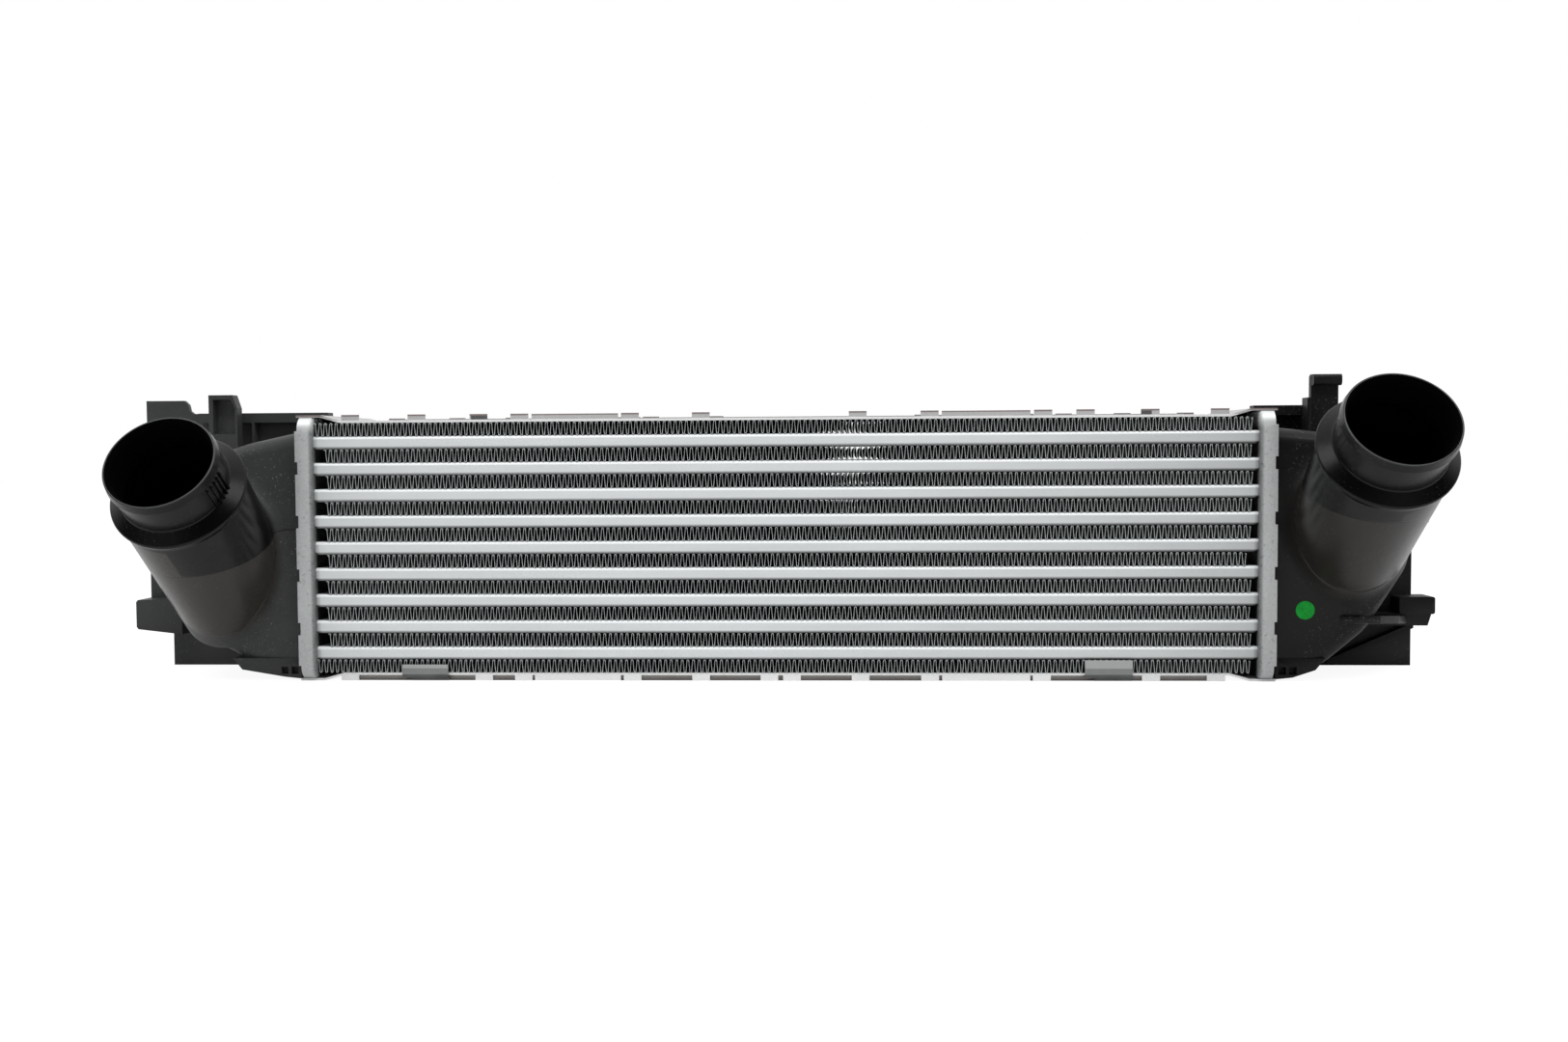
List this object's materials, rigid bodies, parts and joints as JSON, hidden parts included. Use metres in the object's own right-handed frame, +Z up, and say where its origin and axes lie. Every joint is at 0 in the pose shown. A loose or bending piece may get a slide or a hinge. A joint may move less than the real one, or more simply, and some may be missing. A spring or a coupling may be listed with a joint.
{
  "type": "intercooler",
  "caption": "Charge-air cooler with a flat tube-and-fin aluminium core, crimped dark plastic end tanks, two slanted round necks and rear brackets.",
  "frame": {"origin": "under the middle of the core, on the surface that the cooler stands on", "axes": "+X along the tubes towards the tank with the tall hook, -Y towards the face with the two necks, +Z up"},
  "size_m": [0.7414, 0.1824, 0.1641],
  "materials": {
    "tube_aluminium": "bright rolled sheet",
    "fin_aluminium": "thin louvred strip, dull after brazing",
    "header_aluminium": "satin brazed sheet",
    "tank_plastic": "fine-grained glass-filled moulding",
    "gasket_rubber": "smooth seal rubber",
    "green_paper": "plain printed paper"
  },
  "bodies": {
    "root": {"tube_1": "tube_aluminium", "tube_2": "tube_aluminium", "tube_3": "tube_aluminium", "tube_4": "tube_aluminium", "tube_5": "tube_aluminium", "tube_6": "tube_aluminium", "tube_7": "tube_aluminium", "tube_8": "tube_aluminium", "tube_9": "tube_aluminium", "turbulator_1": "fin_aluminium", "turbulator_2": "fin_aluminium", "turbulator_3": "fin_aluminium", "turbulator_4": "fin_aluminium", "turbulator_5": "fin_aluminium", "turbulator_6": "fin_aluminium", "turbulator_7": "fin_aluminium", "turbulator_8": "fin_aluminium", "turbulator_9": "fin_aluminium", "fin_row_1": "fin_aluminium", "fin_row_2": "fin_aluminium", "fin_row_3": "fin_aluminium", "fin_row_4": "fin_aluminium", "fin_row_5": "fin_aluminium", "fin_row_6": "fin_aluminium", "fin_row_7": "fin_aluminium", "fin_row_8": "fin_aluminium", "fin_row_9": "fin_aluminium", "fin_row_10": "fin_aluminium", "header_plate_left": "header_aluminium", "gasket_left": "gasket_rubber", "tank_left": "tank_plastic", "header_plate_right": "header_aluminium", "gasket_right": "gasket_rubber", "tank_right": "tank_plastic", "side_plate_top": "header_aluminium", "side_plate_bottom": "header_aluminium", "air_guide_clip_left": "header_aluminium", "air_guide_clip_right": "header_aluminium", "inspection_mark": "green_paper"}
  },
  "joints": []
}
